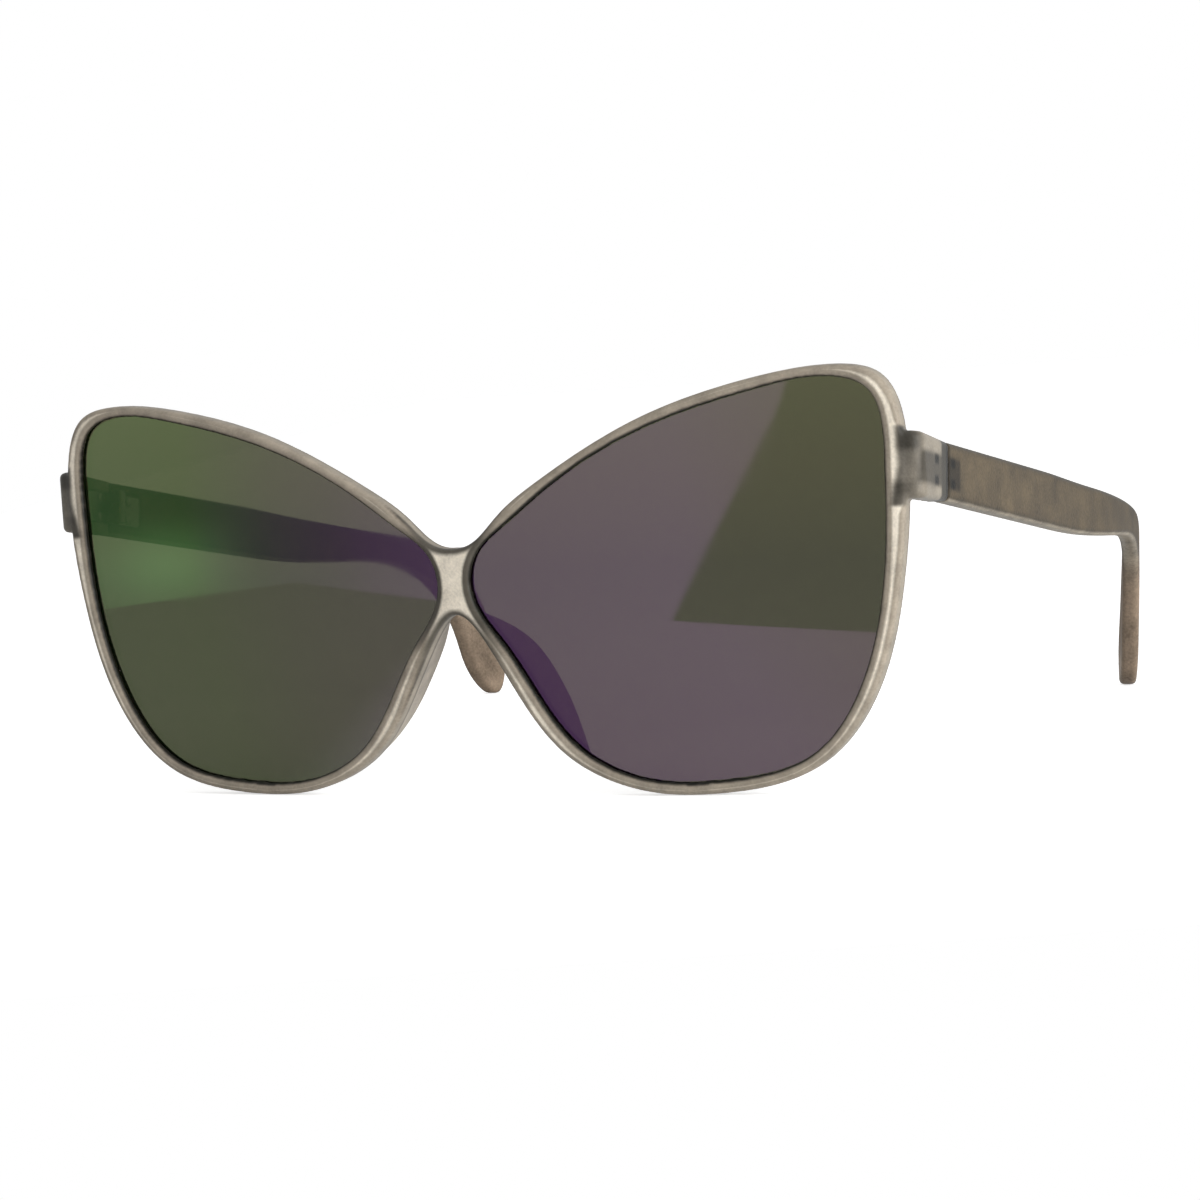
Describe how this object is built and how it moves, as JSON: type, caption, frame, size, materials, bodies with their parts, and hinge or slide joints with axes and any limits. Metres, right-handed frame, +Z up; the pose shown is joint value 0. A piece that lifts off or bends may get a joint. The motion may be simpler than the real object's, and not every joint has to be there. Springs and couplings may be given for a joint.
{
  "type": "sunglasses",
  "caption": "Oversized butterfly sunglasses with a frosted translucent frame, large tinted mirrored lenses and temples that fold on pinned hinges.",
  "frame": {"origin": "centre of the bounding box at the surface that the sunglasses stand on, with the rims and the temple tips down", "axes": "+X towards the wearer's left, +Y from the front back along the temples, +Z up"},
  "size_m": [0.1568, 0.1442, 0.0641],
  "materials": {
    "front_plastic": "frosted, slightly translucent",
    "temple_plastic": "frosted, slightly translucent",
    "lens_tint": "dark tint with a green to purple mirror coat",
    "hinge_metal": "satin"
  },
  "bodies": {
    "front": {"front_frame": "front_plastic", "lens_left": "lens_tint", "lens_right": "lens_tint", "front_hinge_leaf_left": "hinge_metal", "front_hinge_leaf_right": "hinge_metal", "hinge_screw_left": "hinge_metal", "hinge_screw_right": "hinge_metal", "front_hinge_rivets_left": "hinge_metal", "front_hinge_rivets_right": "hinge_metal"},
    "temple_left": {"temple_left": "temple_plastic", "temple_hinge_leaf_left": "hinge_metal", "temple_hinge_rivets_left": "hinge_metal"},
    "temple_right": {"temple_right": "temple_plastic", "temple_hinge_leaf_right": "hinge_metal", "temple_hinge_rivets_right": "hinge_metal"}
  },
  "joints": [
    {"name": "temple_left_fold", "type": "hinge", "parent": "front", "child": "temple_left", "pos_m": [0.07117, -0.05488, 0.04691], "axis": [0, 0.1568, 0.9876], "range_deg": [0, 89.6]},
    {"name": "temple_right_fold", "type": "hinge", "parent": "front", "child": "temple_right", "pos_m": [-0.07117, -0.05488, 0.04691], "axis": [0, -0.1568, -0.9876], "range_deg": [0, 84.6]}
  ]
}
